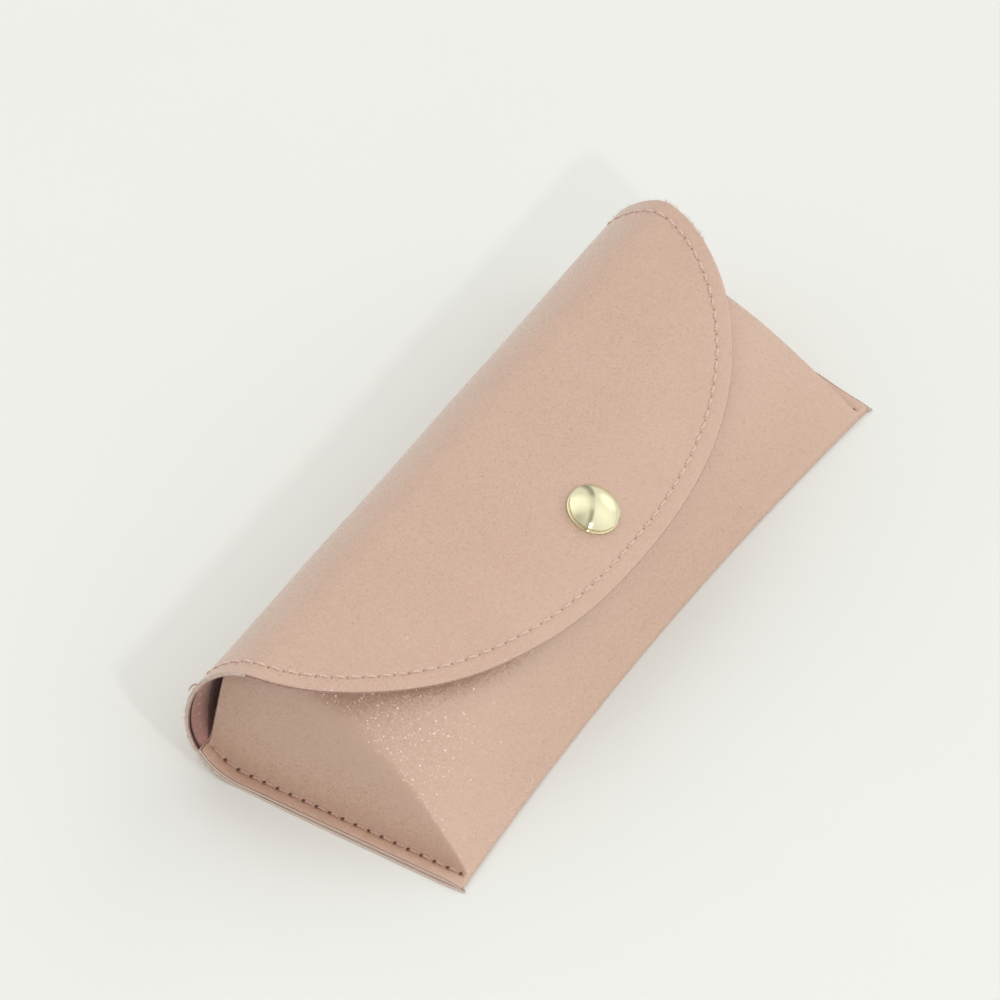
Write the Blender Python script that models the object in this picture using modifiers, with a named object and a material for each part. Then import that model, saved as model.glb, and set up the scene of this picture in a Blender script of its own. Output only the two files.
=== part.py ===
# Soft pouch case for glasses: a folded leather body with a lined pocket and a
# snap-fastened flap. Metres, +Z up, +X along the case, the folded front edge
# towards -Y and the rear bend towards +Y. The origin is at the middle of the
# underside.

import bpy
from math import acos, cos, exp, hypot, pi, radians, sin, sqrt, tan
from mathutils import Matrix, Vector

# Body
base_length = 0.176
base_depth = 0.0728
case_height = 0.0384
front_hollow = 0.0036          # how far the front fold curves in at mid-length
leather = 0.0008
lining = 0.0004
fit_gap = 0.0003

# Rear bend, from the base up and over into the flap
bottom_bend = 0.014
top_bend = 0.011
rear_lean = radians(60)        # where the rear wall runs into the top bend
flap_start = radians(98)       # where the top bend runs into the flap
flap_radius = 0.130
flap_crown = 0.0017            # rise of the flap at mid-length over its ends
spine_bottom = radians(-10)    # lower hinge line, on the bottom bend
spine_top = radians(65)        # upper hinge line, on the top bend

# Flap outline
curve_start = radians(78)      # where the straight ends turn into the curve
tip_setback = 0.0078           # from the front corners back to the flap's tip
outline_fullness = 2.3
outline_taper = 1.6

# Pocket
flange_width = 0.0042
end_slope = radians(79.5)
front_slope_middle = radians(68)
front_slope_end = radians(47)
front_bow = 0.050              # how soon the front slope bends over
ridge_sharpness = 8
panel_drop = 0.0035            # flap's outer face down to the pocket's outer face
end_lift = 0.0012              # nearer to the flap at its ends by this
mouth_angle = radians(-35)     # where the sewn flange ends, on the bottom bend
mouth_scoop = 0.0165

# Stitching
thread_radius = 0.0002
end_seam_inset = 0.0030
flap_seam_inset = 0.0040
seam_start = 0.0025            # first stitch from the front corner

# Snap fastener, along its axis from the flap's outer face
snap_inset = 0.0151            # flap's tip back to the snap
cap_radius = 0.0062
cap_rim = 0.0009
cap_dome = 0.0016
cap_post_radius = 0.0015
socket_radius = 0.0046
socket_height = 0.0024
socket_roof = 0.0007
spring_wire = 0.0002
stud_radius = 0.0046
stud_plate = 0.0004
stud_neck_radius = 0.0017
stud_head_radius = 0.0021
spring_lip = 0.00015           # socket's mouth below its spring
stud_bore_radius = 0.0011
rivet_radius = 0.0042
rivet_plate = 0.0005
flat_around_snap = 0.0055
flat_fade = 0.0060
round_steps = 24

# What follows from those sizes
half_length = base_length / 2
half_depth = base_depth / 2
thread_stand = fit_gap + 2 * thread_radius
rear_y = half_depth - thread_stand
layer_step = leather + fit_gap
seam_stack = 2 * (leather + lining) + 3 * fit_gap
foot_x = half_length - flange_width
rear_wall = (case_height - bottom_bend - top_bend * (1 - sin(rear_lean))) / sin(rear_lean)
bottom_centre = Vector((rear_y - bottom_bend, bottom_bend))
rear_centre = Vector((rear_y - rear_wall, bottom_bend))


def direction(angle):
    return Vector((cos(angle), sin(angle)))


top_centre = rear_centre + (rear_wall - top_bend) * direction(rear_lean)
flap_centre = top_centre - (flap_radius - top_bend) * direction(flap_start)
tip_angle = acos((-half_depth + tip_setback - flap_centre.x) / flap_radius)
curve_length = top_bend * (flap_start - curve_start) + flap_radius * (tip_angle - flap_start)


def remove_everything():
    for thing in list(bpy.data.objects):
        bpy.data.objects.remove(thing, do_unlink=True)


def new_collection(name):
    made = bpy.data.collections.new(name)
    bpy.context.scene.collection.children.link(made)
    return made


def finish(name, colour, roughness, metallic=0.0):
    made = bpy.data.materials.new(name)
    made.use_nodes = True
    shader = made.node_tree.nodes["Principled BSDF"]
    shader.inputs["Base Color"].default_value = (*colour, 1)
    shader.inputs["Roughness"].default_value = roughness
    shader.inputs["Metallic"].default_value = metallic
    return made


# The bent sheet in the Y-Z plane: a point and its outward direction at an
# angle of the bend, moved out by rise
def bend_point(angle, rise=0.0):
    if angle <= 0:
        centre, radius = bottom_centre, bottom_bend
    elif angle <= rear_lean:
        centre, radius = rear_centre, rear_wall
    elif angle <= flap_start:
        centre, radius = top_centre, top_bend
    else:
        centre, radius = flap_centre, flap_radius
    return centre + (radius + rise) * direction(angle)


# Angle of the bend at an arc length past the start of the flap's curve
def angle_along(length):
    in_bend = top_bend * (flap_start - curve_start)
    if length <= in_bend:
        return curve_start + length / top_bend
    return flap_start + (length - in_bend) / flap_radius


# Arc length from the start of the flap's curve to its edge, at a distance
# from mid-length; inset moves the whole outline inwards
def edge_length(x, inset=0.0):
    share = min(1.0, abs(x) / (half_length - inset))
    return (curve_length - inset) * (1 - share ** outline_fullness) ** (1 / outline_taper)


def smooth(share):
    share = min(1.0, max(0.0, share))
    return share * share * (3 - 2 * share)


# A point of the flap, lifted by its crown
def flap_point(x, length, rise=0.0):
    crown = flap_crown * (1 - (x / half_length) ** 2) * smooth(length / (0.6 * curve_length))
    at = bend_point(angle_along(length), rise + crown)
    return Vector((x, at.x, at.y))


def front_fold(x):
    return -half_depth + front_hollow * (1 - (x / half_length) ** 2)


# Outer face of the sewn flange above the ground, or the face at a depth below
def flange_level(y, depth=0.0):
    beyond = y - bottom_centre.x
    if beyond <= 0:
        return seam_stack - depth
    return bottom_bend - sqrt((bottom_bend - seam_stack + depth) ** 2 - beyond ** 2)


# Outer face of the pocket's roof: the bent sheet moved in by panel_drop
def roof_level(x, y, depth=0.0):
    drop = panel_drop - end_lift * (abs(x) / foot_x) ** 3 + depth
    if y <= bend_point(flap_start, -drop).x:
        centre, radius = flap_centre, flap_radius
    elif y <= bend_point(rear_lean, -drop).x:
        centre, radius = top_centre, top_bend
    else:
        centre, radius = rear_centre, rear_wall
    return centre.y + sqrt((radius - drop) ** 2 - (y - centre.x) ** 2)


snap_length = curve_length - snap_inset
snap_point = flap_point(0, snap_length)
snap_slope = flap_point(0, snap_length + fit_gap) - flap_point(0, snap_length - fit_gap)
snap_axis = Vector((1, 0, 0)).cross(snap_slope).normalized()
if snap_axis.z < 0:
    snap_axis = -snap_axis
stud_head_height = socket_height - socket_roof - spring_lip - 2 * spring_wire - 2 * fit_gap
flap_stack = leather + fit_gap + lining
socket_top = flap_stack + fit_gap
socket_bottom = socket_top + socket_height
stud_top = socket_bottom + fit_gap
stud_bottom = stud_top + stud_plate
panel_under_snap = stud_bottom + fit_gap
snap_seat = snap_point - snap_axis * panel_under_snap


# Outer face of the front panel, or the face at a depth below it: the soft
# lowest of a front slope, two steep ends and the roof, pressed flat round the
# snap
def panel_level(x, y, depth=0.0):
    floor = flange_level(y, depth)
    share = (abs(x) / foot_x) ** 3
    front_slope = front_slope_middle + (front_slope_end - front_slope_middle) * share
    to_end = foot_x - abs(x) - depth * tan(end_slope / 2)
    to_front = y - front_fold(x) - depth * tan(front_slope / 2)
    if to_end <= 0 or to_front <= 0:
        return floor
    front_rise = front_bow * tan(front_slope) * (1 - exp(-to_front / front_bow))
    rises = (to_end * tan(end_slope), front_rise, roof_level(x, y, depth) - floor)
    level = floor + sum(rise ** -ridge_sharpness for rise in rises) ** (-1 / ridge_sharpness)
    away = hypot(x, y - snap_seat.y) - flat_around_snap
    seat = snap_seat.z - (y - snap_seat.y) * snap_axis.y / snap_axis.z - depth / snap_axis.z
    return seat + (level - seat) * smooth(away / flat_fade)


mouth_end = bottom_centre.x + (bottom_bend - seam_stack) * cos(mouth_angle)


def mouth_edge(x):
    share = min(1.0, abs(x) / foot_x)
    return mouth_end - mouth_scoop * (1 - share * share)


# Distances from mid-length, with more of them on the steep end faces
def length_stations(depth):
    steep_run = case_height / tan(end_slope)
    foot = foot_x - depth * tan(end_slope / 2)
    inner = [(foot - steep_run) * share for share in (0.08, 0.23, 0.40, 0.57, 0.73, 0.86, 0.94, 1.0)]
    steep = [foot - steep_run * share for share in (0.77, 0.56, 0.40, 0.27, 0.15, 0.05, 0.0)]
    half = inner + steep + [half_length]
    return [-x for x in reversed(half)] + half


def grid_mesh(name, rows):
    mesh = bpy.data.meshes.new(name)
    across = len(rows[0])
    points = [tuple(point) for row in rows for point in row]
    faces = []
    for j in range(len(rows) - 1):
        for i in range(across - 1):
            a = j * across + i
            faces.append((a, a + 1, a + across + 1, a + across))
    mesh.from_pydata(points, [], faces)
    return mesh


def solid_sheet(name, rows, thickness, material, collection):
    sheet = bpy.data.objects.new(name, grid_mesh(name, rows))
    collection.objects.link(sheet)
    sheet.data.materials.append(material)
    sheet.data.shade_smooth()
    solid = sheet.modifiers.new("thickness", "SOLIDIFY")
    solid.thickness = thickness
    solid.offset = -1
    solid.use_even_offset = True
    return sheet


# The snap's frame: Z along its axis, zero at the flap's outer face
def snap_place(height=0.0):
    turn = snap_axis.to_track_quat("Z", "Y").to_matrix().to_4x4()
    return Matrix.Translation(snap_point + snap_axis * height) @ turn


def turned(name, outline, material, collection):
    mesh = bpy.data.meshes.new(name)
    edges = [(k, k + 1) for k in range(len(outline) - 1)]
    mesh.from_pydata([(radius, 0, height) for radius, height in outline], edges, [])
    part = bpy.data.objects.new(name, mesh)
    collection.objects.link(part)
    part.data.materials.append(material)
    screw = part.modifiers.new("turn", "SCREW")
    screw.steps = round_steps
    screw.render_steps = round_steps
    screw.use_merge_vertices = True
    screw.merge_threshold = 0.00001
    part.matrix_world = snap_place()
    return part


def punch(part, radius, cutters):
    bpy.ops.mesh.primitive_cylinder_add(vertices=round_steps, radius=radius, depth=0.03)
    cutter = bpy.context.object
    cutter.name = part.name + "_hole"
    cutter.matrix_world = snap_place()
    cutter.hide_render = True
    cutter.display_type = "WIRE"
    for holder in list(cutter.users_collection):
        holder.objects.unlink(cutter)
    cutters.objects.link(cutter)
    cut = part.modifiers.new("snap_hole", "BOOLEAN")
    cut.operation = "DIFFERENCE"
    cut.object = cutter


def thread(name, route, material, collection):
    curve = bpy.data.curves.new(name, "CURVE")
    curve.dimensions = "3D"
    curve.bevel_depth = thread_radius
    curve.bevel_resolution = 1
    curve.use_fill_caps = True
    spline = curve.splines.new("POLY")
    spline.points.add(len(route) - 1)
    for point, at in zip(spline.points, route):
        point.co = (*at, 1)
    part = bpy.data.objects.new(name, curve)
    collection.objects.link(part)
    part.data.materials.append(material)
    return part


def spread(start, end, count):
    return [start + (end - start) * k / (count - 1) for k in range(count)]


# Puts an object's origin on a hinge line without moving its shape
def set_origin(part, at):
    part.data.transform(Matrix.Translation(-at) @ part.matrix_world)
    part.matrix_world = Matrix.Translation(at)


# Hangs parts from an empty on a hinge line without moving them
def hang_on_axis(name, parts, at, collection):
    axis = bpy.data.objects.new(name, None)
    collection.objects.link(axis)
    axis.location = at
    for part in parts:
        part.parent = axis
        part.matrix_parent_inverse = Matrix.Translation(-at)


def base_rows(depth):
    stations = [half_length * share / 8 for share in range(8, -9, -1)]
    rows = []
    for share in (0.0, 0.5):
        rows.append([])
        for x in stations:
            front = front_fold(x) + depth
            rows[-1].append((x, front + share * (bottom_centre.x - front), depth))
    for angle in spread(-pi / 2, spine_bottom - fit_gap / bottom_bend, 9):
        at = bend_point(angle, -depth)
        rows.append([(x, at.x, at.y) for x in stations])
    return rows


def spine_rows(depth):
    angles = spread(spine_bottom, 0, 2) + spread(0, rear_lean, 9)[1:] + [spine_top - fit_gap / top_bend]
    rows = []
    for angle in angles:
        at = bend_point(angle, -depth)
        rows.append([(x, at.x, at.y) for x in (half_length, 0, -half_length)])
    return rows


def cover_rows(depth):
    stations = [half_length * sin(pi / 2 * share) for share in spread(1.0, -1.0, 29)]
    straight = top_bend * (curve_start - spine_top)
    rows = []
    for share in (0.0, 0.04, 0.08, 0.12, 0.2, 0.32, 0.48, 0.65, 0.83, 1.0):
        row = []
        for x in stations:
            length = -straight + share * (straight + edge_length(x))
            row.append(flap_point(x, length, -depth))
        rows.append(row)
    return rows


# The front panel's outer face from the front fold back to the mouth, or the
# lining's face below it
def panel_rows(depth):
    rows = []
    if depth == 0:
        rows.append([(x, front_fold(x), layer_step) for x in length_stations(depth)])
    for share in (0.0, 0.025, 0.06, 0.105, 0.16, 0.225, 0.30, 0.39, 0.50, 0.62, 0.75, 0.87, 0.92, 0.96, 1.0):
        row = []
        for x in length_stations(depth):
            front = front_fold(x) + depth
            y = front + share * (mouth_edge(x) - front)
            row.append((x, y, panel_level(x, y, depth)))
        rows.append(row)
    return rows


def end_seam_route(side):
    x = side * (half_length - end_seam_inset)
    rise = fit_gap + thread_radius
    flat = [(x, y, seam_stack + rise) for y in spread(-half_depth + seam_start, bottom_centre.x, 9)]
    bent = []
    for angle in spread(-pi / 2, mouth_angle - radians(6), 7)[1:]:
        at = bend_point(angle, -rise - seam_stack)
        bent.append((x, at.x, at.y))
    return flat + bent


def spine_seam_route(side):
    x = side * (half_length - flap_seam_inset)
    edge = thread_stand / bottom_bend
    route = []
    for angle in spread(spine_bottom + edge, spine_top - edge, 12):
        at = bend_point(angle, fit_gap + thread_radius)
        route.append((x, at.x, at.y))
    return route


def flap_seam_route():
    rise = fit_gap + thread_radius
    side_x = half_length - flap_seam_inset
    start = -top_bend * (curve_start - spine_top) + thread_stand
    curve = []
    for share in spread(-1.0, 1.0, 45):
        x = side_x * sin(pi / 2 * share)
        curve.append(flap_point(x, edge_length(x, flap_seam_inset), rise))
    first = [flap_point(-side_x, length, rise) for length in spread(start, 0, 3)[:-1]]
    last = [flap_point(side_x, length, rise) for length in spread(0, start, 3)[1:]]
    return first + curve + last


def cap_outline():
    under = fit_gap
    rim_top = under + cap_rim
    dome = [(cap_radius * cos(angle), rim_top + cap_dome * sin(angle)) for angle in spread(pi / 2, 0, 7)]
    dome[0] = (0.0, rim_top + cap_dome)
    foot = -(socket_top + socket_roof - fit_gap)
    return dome + [(cap_radius, under), (cap_post_radius, under), (cap_post_radius, foot), (0.0, foot)]


def socket_outline():
    bore = cap_post_radius + fit_gap
    cavity = stud_neck_radius + fit_gap + 2 * spring_wire + fit_gap
    roof = -(socket_top + socket_roof)
    ease = 0.2 * socket_height
    return [
        (bore, -socket_top), (socket_radius - ease, -socket_top), (socket_radius, -socket_top - ease),
        (socket_radius, -socket_bottom + ease), (socket_radius - ease, -socket_bottom), (cavity, -socket_bottom),
        (cavity, roof), (bore, roof), (bore, -socket_top)]


def stud_outline():
    head_top = -(socket_top + socket_roof + fit_gap)
    head_foot = head_top - stud_head_height
    bore_top = head_top - fit_gap
    return [
        (0.0, head_top), (0.6 * stud_head_radius, head_top),
        (stud_head_radius, head_top - 0.5 * stud_head_height), (stud_head_radius, head_foot + 0.00005),
        (stud_neck_radius, head_foot - 0.00015), (stud_neck_radius, -stud_top),
        (stud_radius, -stud_top), (stud_radius, -stud_bottom), (stud_bore_radius, -stud_bottom),
        (stud_bore_radius, bore_top), (0.0, bore_top)]


def rivet_outline():
    plate_top = -(panel_under_snap + flap_stack + fit_gap)
    post = stud_bore_radius - fit_gap
    post_top = -(stud_bottom - stud_plate)
    return [
        (0.0, post_top), (post, post_top), (post, plate_top), (rivet_radius, plate_top),
        (rivet_radius, plate_top - rivet_plate), (0.0, plate_top - rivet_plate)]


def spring_ring(material, collection):
    middle = -(socket_bottom - spring_lip - spring_wire)
    bpy.ops.mesh.primitive_torus_add(
        major_radius=stud_neck_radius + fit_gap + spring_wire, minor_radius=spring_wire,
        major_segments=round_steps, minor_segments=8)
    ring = bpy.context.object
    ring.name = "socket_spring"
    for holder in list(ring.users_collection):
        holder.objects.unlink(ring)
    collection.objects.link(ring)
    ring.data.materials.append(material)
    ring.matrix_world = snap_place(middle)
    return ring


def build():
    remove_everything()
    case = new_collection("soft_glasses_pouch")
    cutters = new_collection("cutters")

    pink = finish("pink_leather", (0.62, 0.45, 0.37), 0.48)
    inside = finish("pink_lining", (0.55, 0.33, 0.30), 0.75)
    cotton = finish("pink_thread", (0.75, 0.56, 0.48), 0.7)
    gold = finish("pale_gold", (0.83, 0.77, 0.52), 0.2, 1.0)
    steel = finish("spring_steel", (0.55, 0.56, 0.57), 0.3, 1.0)

    solid_sheet("base_panel", base_rows(0), leather, pink, case)
    solid_sheet("base_lining", base_rows(layer_step), lining, inside, case)
    front = solid_sheet("front_panel", panel_rows(0), leather, pink, case)
    front_lining = solid_sheet("front_lining", panel_rows(layer_step), lining, inside, case)
    spine = solid_sheet("flap_spine", spine_rows(0), leather, pink, case)
    spine_lining = solid_sheet("spine_lining", spine_rows(layer_step), lining, inside, case)
    cover = solid_sheet("flap_cover", cover_rows(0), leather, pink, case)
    cover_lining = solid_sheet("flap_lining", cover_rows(layer_step), lining, inside, case)

    thread("left_end_stitching", end_seam_route(-1), cotton, case)
    thread("right_end_stitching", end_seam_route(1), cotton, case)
    left_spine = thread("left_spine_stitching", spine_seam_route(-1), cotton, case)
    right_spine = thread("right_spine_stitching", spine_seam_route(1), cotton, case)
    flap_seam = thread("flap_edge_stitching", flap_seam_route(), cotton, case)

    cap = turned("snap_cap", cap_outline(), gold, case)
    socket = turned("snap_socket", socket_outline(), gold, case)
    turned("snap_stud", stud_outline(), gold, case)
    turned("stud_rivet", rivet_outline(), gold, case)
    spring = spring_ring(steel, case)

    for sheet in (cover, cover_lining):
        punch(sheet, cap_post_radius + fit_gap, cutters)
    for sheet in (front, front_lining):
        punch(sheet, stud_bore_radius, cutters)

    lower = bend_point(spine_bottom)
    upper = bend_point(spine_top)
    for part in (spine, spine_lining, left_spine, right_spine):
        set_origin(part, Vector((0, lower.x, lower.y)))
    for part in (cover, cover_lining, flap_seam):
        set_origin(part, Vector((0, upper.x, upper.y)))
    hang_on_axis("flap_bend_axis", (cap, socket, spring), Vector((0, upper.x, upper.y)), case)


build()
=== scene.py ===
import bpy
import numpy as np
from math import cos, hypot, pi, radians, sin, sqrt, tan
from mathutils import Matrix, Vector
from random import Random


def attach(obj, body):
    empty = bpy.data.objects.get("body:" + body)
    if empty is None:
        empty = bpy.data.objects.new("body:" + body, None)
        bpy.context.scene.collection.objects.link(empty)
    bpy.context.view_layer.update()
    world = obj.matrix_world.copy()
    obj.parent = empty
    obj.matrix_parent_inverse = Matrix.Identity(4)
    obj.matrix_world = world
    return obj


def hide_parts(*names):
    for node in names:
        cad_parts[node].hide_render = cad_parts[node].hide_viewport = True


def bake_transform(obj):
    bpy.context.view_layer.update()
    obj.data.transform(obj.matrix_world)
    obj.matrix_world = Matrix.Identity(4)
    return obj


# Soft glasses pouch in dusty pink leather: one folded sheet, sewn flat at both
# ends, with a lined pocket, a rounded flap and a pale gold snap.
# Lengths in this file are millimetres until a mesh is made.

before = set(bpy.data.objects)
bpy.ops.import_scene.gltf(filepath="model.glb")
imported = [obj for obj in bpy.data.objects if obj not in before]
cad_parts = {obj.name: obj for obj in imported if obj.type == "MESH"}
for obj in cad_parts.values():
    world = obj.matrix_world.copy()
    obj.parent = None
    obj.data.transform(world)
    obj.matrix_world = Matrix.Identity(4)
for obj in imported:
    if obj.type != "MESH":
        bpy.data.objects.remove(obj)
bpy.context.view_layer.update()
mm = 0.001
print("frame loaded, snap and hinges in place")

case = {
    "length": 176.0,
    "depth": 72.8,
    "height": 38.4,
    "frontHollow": 3.6,      # inward bow of the front fold
    "threadStand": 0.7,      # rear stitches stand this proud of the leather
    "bottomBend": 14.0,
    "topBend": 11.0,
    "rearLean": 60.0,
    "flapStart": 98.0,
    "flapRadius": 130.0,
}

halfLength = case["length"] / 2
halfDepth = case["depth"] / 2
bottomBend = case["bottomBend"]
topBend = case["topBend"]
rearLean = radians(case["rearLean"])
flapStart = radians(case["flapStart"])
rearWall = (case["height"] - bottomBend - topBend * (1 - sin(rearLean))) / sin(rearLean)
bottomCentre = np.array([halfDepth - case["threadStand"] - bottomBend, bottomBend])
rearCentre = np.array([halfDepth - case["threadStand"] - rearWall, bottomBend])
topCentre = rearCentre + (rearWall - topBend) * np.array([cos(rearLean), sin(rearLean)])
flapCentre = topCentre - (case["flapRadius"] - topBend) * np.array([cos(flapStart), sin(flapStart)])

# Length along the sheet, from 0 where the flat base turns into the bottom bend
alongRear = bottomBend * pi / 2
alongTop = alongRear + rearWall * rearLean
alongFlap = alongTop + topBend * (flapStart - rearLean)


def sheetAngle(along):
    along = np.asarray(along, float)
    return np.select(
        [along < 0, along < alongRear, along < alongTop, along < alongFlap],
        [-pi / 2 + 0 * along,
         -pi / 2 + along / bottomBend,
         (along - alongRear) / rearWall,
         rearLean + (along - alongTop) / topBend],
        flapStart + (along - alongFlap) / case["flapRadius"])


def sheetPoint(x, along, rise=0.0):
    along = np.asarray(along, float)
    angle = sheetAngle(along)
    steps = [along < 0, along < alongRear, along < alongTop, along < alongFlap]
    alongY = [bottomCentre[0] + along, bottomCentre[0], rearCentre[0], topCentre[0]]
    alongZ = [bottomCentre[1], bottomCentre[1], rearCentre[1], topCentre[1]]
    centreY = np.select(steps, alongY, flapCentre[0])
    centreZ = np.select(steps, alongZ, flapCentre[1])
    radius = np.select(steps, [bottomBend, bottomBend, rearWall, topBend], case["flapRadius"])
    y = centreY + (radius + rise) * np.cos(angle)
    z = centreZ + (radius + rise) * np.sin(angle)
    return np.stack([x + 0 * y, y, z], axis=-1)


def smoothStep(value):
    value = np.clip(value, 0, 1)
    return value * value * (3 - 2 * value)


def bump(value, width):
    return np.exp(-(value / width) ** 2)


def pointNormals(grid):
    down = np.gradient(grid, axis=0)
    across = np.gradient(grid, axis=1)
    normal = np.cross(across, down)
    size = np.linalg.norm(normal, axis=-1, keepdims=True)
    return normal / np.maximum(size, 1e-12)


def meshObject(name, points, faces, slots, materials):
    mesh = bpy.data.meshes.new(name)
    mesh.from_pydata([tuple(point) for point in np.asarray(points) * mm], [], faces)
    for material in materials:
        mesh.materials.append(material)
    if slots is not None:
        mesh.polygons.foreach_set("material_index", np.asarray(slots, np.int32))
    mesh.shade_smooth()
    mesh.update()
    piece = bpy.data.objects.new(name, mesh)
    bpy.context.scene.collection.objects.link(piece)
    return piece


# A sheet with thickness: the grid is its outer face, and the cut edge is
# slightly swollen and rounded except where the sheet runs on into another piece
def cutSheet(name, grid, thickness, materials, swell=0.1, joined=()):
    rows, columns = grid.shape[:2]
    size = rows * columns
    normal = pointNormals(grid)
    outer = grid.reshape(-1, 3)
    inner = (grid - normal * thickness).reshape(-1, 3)
    index = np.arange(size).reshape(rows, columns)
    loops = {
        "start": index[0, :-1],
        "right": index[:-1, -1],
        "end": index[-1, :0:-1],
        "left": index[:0:-1, 0],
    }
    border = np.concatenate(list(loops.values()))
    flat = np.concatenate([np.full(len(part), side in joined) for side, part in loops.items()])
    corners = outer[border]
    ahead = np.roll(corners, -1, axis=0) - np.roll(corners, 1, axis=0)
    borderNormal = normal.reshape(-1, 3)[border]
    outward = np.cross(ahead, borderNormal)
    outward /= np.maximum(np.linalg.norm(outward, axis=-1, keepdims=True), 1e-12)
    centre = corners.mean(axis=0)
    if np.median(np.einsum("ij,ij->i", outward, corners - centre)) < 0:
        outward = -outward
    swellings = np.where(flat, 0.0, swell)[:, None]
    profile = [(0.55, 0.10), (0.95, 0.28), (1.0, 0.5), (0.95, 0.72), (0.55, 0.90)]
    rings = [corners + outward * swellings * out - borderNormal * thickness * depth for out, depth in profile]
    points = np.concatenate([outer, inner] + rings)
    a = index[:-1, :-1].ravel()
    b = index[:-1, 1:].ravel()
    c = index[1:, 1:].ravel()
    d = index[1:, :-1].ravel()
    top = np.stack([a, d, c, b], axis=1)
    low = top[:, ::-1] + size
    count = len(border)
    ringIndex = [border] + [2 * size + k * count + np.arange(count) for k in range(len(profile))]
    ringIndex.append(border + size)
    rim = []
    for first, second in zip(ringIndex[:-1], ringIndex[1:]):
        quad = np.stack([first, np.roll(first, -1), np.roll(second, -1), second], axis=1)
        rim.append(quad[:, ::-1])
    faces = np.concatenate([top, low] + rim)
    slots = np.concatenate([np.zeros(len(top)), np.ones(len(low)), np.full(len(faces) - 2 * len(top), 2)])
    piece = meshObject(name, points, faces.tolist(), slots, materials)
    # no shading line where two pieces of one sheet meet
    meets = np.zeros(len(points), bool)
    meets[border[flat]] = True
    meets[border[flat] + size] = True
    ends = np.empty(2 * len(piece.data.edges), np.int32)
    piece.data.edges.foreach_get("vertices", ends)
    piece.data.edges.foreach_set("use_edge_sharp", meets[ends.reshape(-1, 2)].all(axis=1))
    return piece


def newFinish(name):
    finish = bpy.data.materials.new(name)
    finish.use_nodes = True
    nodes = finish.node_tree.nodes
    links = finish.node_tree.links
    return finish, nodes, links, nodes["Principled BSDF"]


def coordinate(nodes):
    return nodes.new("ShaderNodeTexCoord").outputs["Object"]


def noiseTexture(nodes, links, where, size, detail=2.0, roughness=0.5):
    texture = nodes.new("ShaderNodeTexNoise")
    texture.inputs["Scale"].default_value = 1 / (size * mm)
    texture.inputs["Detail"].default_value = detail
    texture.inputs["Roughness"].default_value = roughness
    links.new(where, texture.inputs["Vector"])
    return texture.outputs["Fac"]


def cellTexture(nodes, links, where, size, feature="F1"):
    texture = nodes.new("ShaderNodeTexVoronoi")
    texture.feature = feature
    texture.inputs["Scale"].default_value = 1 / (size * mm)
    links.new(where, texture.inputs["Vector"])
    return texture


def ranged(nodes, links, value, fromLow, fromHigh, toLow, toHigh, steps="LINEAR"):
    node = nodes.new("ShaderNodeMapRange")
    node.interpolation_type = steps
    node.inputs["From Min"].default_value = fromLow
    node.inputs["From Max"].default_value = fromHigh
    node.inputs["To Min"].default_value = toLow
    node.inputs["To Max"].default_value = toHigh
    links.new(value, node.inputs["Value"])
    return node.outputs["Result"]


def mixed(nodes, links, factor, first, second):
    node = nodes.new("ShaderNodeMix")
    node.data_type = "RGBA"
    links.new(factor, node.inputs["Factor"])
    for socket, colour in ((node.inputs["A"], first), (node.inputs["B"], second)):
        if isinstance(colour, tuple):
            socket.default_value = (*colour, 1)
        else:
            links.new(colour, socket)
    return node.outputs["Result"]


# Two colours mixed by the middle of a noise
def clouded(nodes, links, noise, first, second):
    return mixed(nodes, links, ranged(nodes, links, noise, 0.3, 0.7, 0.0, 1.0), first, second)


# A Math or Vector Math node with its inputs set or linked
def worked(nodes, links, kind, operation, *values):
    node = nodes.new(kind)
    node.operation = operation
    for socket, value in zip(node.inputs, values):
        if isinstance(value, (float, tuple)):
            socket.default_value = value
        else:
            links.new(value, socket)
    return node


def summed(nodes, links, parts):
    total = None
    for value, weight in parts:
        share = worked(nodes, links, "ShaderNodeMath", "MULTIPLY", value, weight).outputs[0]
        if total is None:
            total = share
        else:
            total = worked(nodes, links, "ShaderNodeMath", "ADD", total, share).outputs[0]
    return total


def bumped(nodes, links, shader, height, depth):
    node = nodes.new("ShaderNodeBump")
    node.inputs["Distance"].default_value = depth * mm
    links.new(height, node.inputs["Height"])
    links.new(node.outputs["Normal"], shader.inputs["Normal"])


leatherLook = {
    "colour": (0.606, 0.392, 0.286),
    "shade": (0.590, 0.375, 0.271),
    "pore": (0.550, 0.320, 0.225),
    "poreShare": 0.20,
    "roughness": (0.40, 0.50),
    "grain": 0.42,
    "grainDepth": 0.026,
    "clouds": 26,
    "sheen": 0.22,
    "coat": 0.9,
    "coatRoughness": 0.27,
    "coatIor": 1.9,
    "glint": 0.31,           # size of the glittering grains
    "glintTilt": 0.76,
}


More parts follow.
